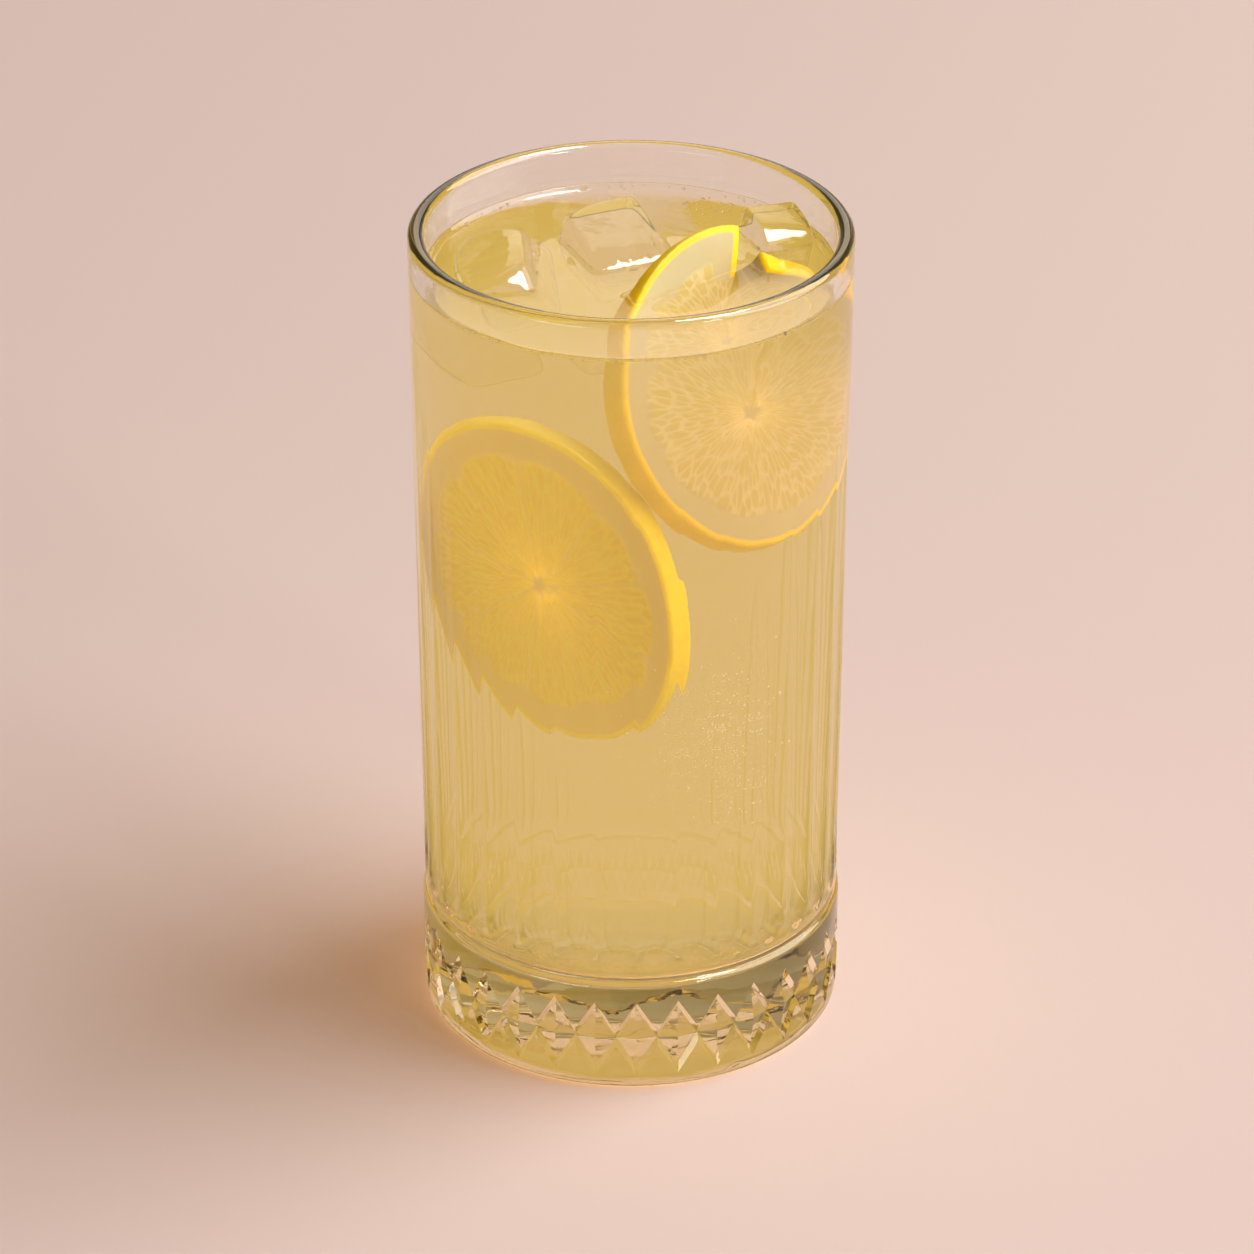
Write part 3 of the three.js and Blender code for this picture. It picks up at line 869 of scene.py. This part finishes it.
sizes = bead_random.uniform(*BUBBLE_SIZES, WATERLINE_BUBBLES)
around = bead_random.uniform(0, 2 * np.pi, WATERLINE_BUBBLES)
off_wall = bead_random.exponential(WATERLINE_SPREAD, WATERLINE_BUBBLES)
from_axis = inside_radius(LEVEL) - sizes - off_wall
bubble_places = [afloat(from_axis * np.cos(around), from_axis * np.sin(around))]
bubble_sizes = [sizes]
around = bead_random.uniform(*BACK_TURNS, BACK_BUBBLES)
from_axis = bead_random.uniform(*BACK_RADII, BACK_BUBBLES)
bubble_places.append(afloat(from_axis * np.cos(around), from_axis * np.sin(around)))
bubble_sizes.append(bead_random.uniform(*BUBBLE_SIZES, BACK_BUBBLES))
for piece in floating:
    wet = [vertex.co for vertex in piece.data.vertices if abs(vertex.co.z - LEVEL) < ICE_BAND]
    picks = bead_random.choice(len(wet), ICE_BUBBLES, replace=False)
    chosen = np.array([wet[pick] for pick in picks])
    from_axis = np.hypot(chosen[:, 0], chosen[:, 1])
    chosen = chosen[from_axis < inside_radius(LEVEL) - WALL_CLEARANCE]
    bubble_places.append(afloat(chosen[:, 0], chosen[:, 1]))
    bubble_sizes.append(bead_random.uniform(*BUBBLE_SIZES, len(chosen)))
bubbles = beads(
    "air_bubbles", np.vstack(bubble_places), np.concatenate(bubble_sizes), BUBBLE_STRETCH, fineness=2
)
bubble_material, tree, shader = clear_material("clear bubble film", BUBBLE_CLEAR, DRINK_IOR)
add_waves(tree, shader, wave_scale=900, fine_scale=3000, fine_share=0.2, height=0.00003)
bubbles.data.materials.append(bubble_material)
bubbles.visible_shadow = False
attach(bubbles, "root")

frost_places = bead_random.normal(FROST_CENTRE, FROST_SPREAD, (FROST_FLECKS, 3))
from_axis = np.hypot(frost_places[:, 0], frost_places[:, 1])
frost_places = frost_places[from_axis < INNER_FLOOR_RADIUS - WALL_CLEARANCE]
frost_sizes = bead_random.uniform(*FROST_SIZES, len(frost_places))
frost = beads("frost_flecks", frost_places, frost_sizes, FROST_STRETCH, fineness=1)
frost_material, tree, shader = new_material("white frost")
shader.inputs["Base Color"].default_value = FROST_WHITE
shader.inputs["Roughness"].default_value = 0.4
add_waves(tree, shader, wave_scale=2500, fine_scale=8000, fine_share=0.4, height=0.00004)
frost.data.materials.append(frost_material)
frost.visible_shadow = False
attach(frost, "root")

# Floor: a plain pale surface, warm pink and matt, for the glass to stand on.
# It lies a hair below the foot and isn't part of the object.
FLOOR_HALF = 2.5
FLOOR_DROP = 0.0002
FLOOR_PINK = (0.655, 0.508, 0.463, 1)
corners = np.array(((-1, -1, -1), (1, -1, -1), (1, 1, -1), (-1, 1, -1)))
floor = new_piece("floor", corners * (FLOOR_HALF, FLOOR_HALF, FLOOR_DROP), [[0, 1, 2, 3]])
floor_material, _, shader = new_material("pale floor")
shader.inputs["Base Color"].default_value = FLOOR_PINK
shader.inputs["Roughness"].default_value = 0.55
shader.inputs["Specular IOR Level"].default_value = 0
floor.data.materials.append(floor_material)

# Light: a large soft lamp high at the right, a small one at the front right and a low one at the
# front left, with a card behind and one above that show only as reflections. The room glows
# faintly too: warm low down, amber at middle height, pale overhead, and more at the right.
LAMP_AIM = Vector((0, 0, 0.07))
ROOM_LOW = (0.42, 0.32, 0.26, 1)
ROOM_MIDDLE = (0.24, 0.172, 0.035, 1)
ROOM_HIGH = (0.52, 0.47, 0.42, 1)
ROOM_ON_MATT = 0.32


def soft_lamp(name, place, size, power, colour, height=None, glints_only=False):
    """Lamp aimed at the glass and not seen through clear pieces; one for glints only doesn't
    light matt surfaces."""
    lamp = bpy.data.lights.new(name, "AREA")
    lamp.shape = "ELLIPSE"
    lamp.size = size
    lamp.size_y = height or size
    lamp.energy = power
    lamp.color = colour
    light = bpy.data.objects.new(name, lamp)
    light.location = place
    light.rotation_euler = (LAMP_AIM - Vector(place)).to_track_quat("-Z", "Y").to_euler()
    light.visible_transmission = False
    light.visible_diffuse = not glints_only
    bpy.context.scene.collection.objects.link(light)


soft_lamp("key_lamp", (2.4, 0.1, 2.0), 3.7, 190, (1.0, 0.985, 0.97))
soft_lamp("front_lamp", (0.77, -0.86, 0.72), 0.2, 2.4, (1.0, 0.98, 0.96))
soft_lamp("fill_lamp", (-0.85, -1.15, 0.15), 0.9, 3.5, (1.0, 0.97, 0.92), height=0.24)
soft_lamp("back_card", (0.2, 2.1, 1.5), 1.8, 14, (1.0, 0.93, 0.89), glints_only=True)
soft_lamp("top_card", (0.44, 0, 1.26), 0.44, 17, (1.0, 0.98, 0.95), glints_only=True)

world = bpy.data.worlds.new("soft room")
world.use_nodes = True
tree = world.node_tree
way = tree.nodes.new("ShaderNodeTexCoord")
parts = tree.nodes.new("ShaderNodeSeparateXYZ")
tree.links.new(way.outputs["Generated"], parts.inputs["Vector"])
room = tree.nodes.new("ShaderNodeValToRGB")
room.color_ramp.elements[0].position = 0.02
room.color_ramp.elements[0].color = ROOM_LOW
room.color_ramp.elements[1].position = 0.9
room.color_ramp.elements[1].color = ROOM_HIGH
room.color_ramp.elements.new(0.35).color = ROOM_MIDDLE
tree.links.new(parts.outputs["Z"], room.inputs["Fac"])
light_path = tree.nodes.new("ShaderNodeLightPath")
brighter_right = rescaled(tree, parts.outputs["X"], -0.8, 0.8, 0.6, 1.6)
dim_on_matt = rescaled(tree, light_path.outputs["Is Diffuse Ray"], 0, 1, 1, ROOM_ON_MATT)
background = tree.nodes["Background"]
tree.links.new(room.outputs["Color"], background.inputs["Color"])
tree.links.new(product(tree, brighter_right, dim_on_matt), background.inputs["Strength"])
world.cycles.sampling_method = "NONE"
bpy.context.scene.world = world

# Camera: at the photograph's height and angle, about a metre from the glass.
# Light paths are long enough for glass, drink and ice behind one another.
CAMERA_PLACE = Vector((0, -0.8526, 0.5364))
CAMERA_AIM = Vector((-0.0007, 0, 0.0727))
FOCAL_PIXELS = 5500
FRAME_PIXELS = 1254
camera_data = bpy.data.cameras.new("camera")
camera_data.sensor_width = 36
camera_data.lens = FOCAL_PIXELS / FRAME_PIXELS * camera_data.sensor_width
camera_data.clip_start = 0.05
camera = bpy.data.objects.new("camera", camera_data)
camera.location = CAMERA_PLACE
camera.rotation_euler = (CAMERA_AIM - CAMERA_PLACE).to_track_quat("-Z", "Y").to_euler()
scene = bpy.context.scene
scene.collection.objects.link(camera)
scene.camera = camera
scene.view_settings.view_transform = "Standard"
scene.cycles.max_bounces = 10
scene.cycles.glossy_bounces = 8
scene.cycles.transmission_bounces = 10
scene.cycles.transparent_max_bounces = 12
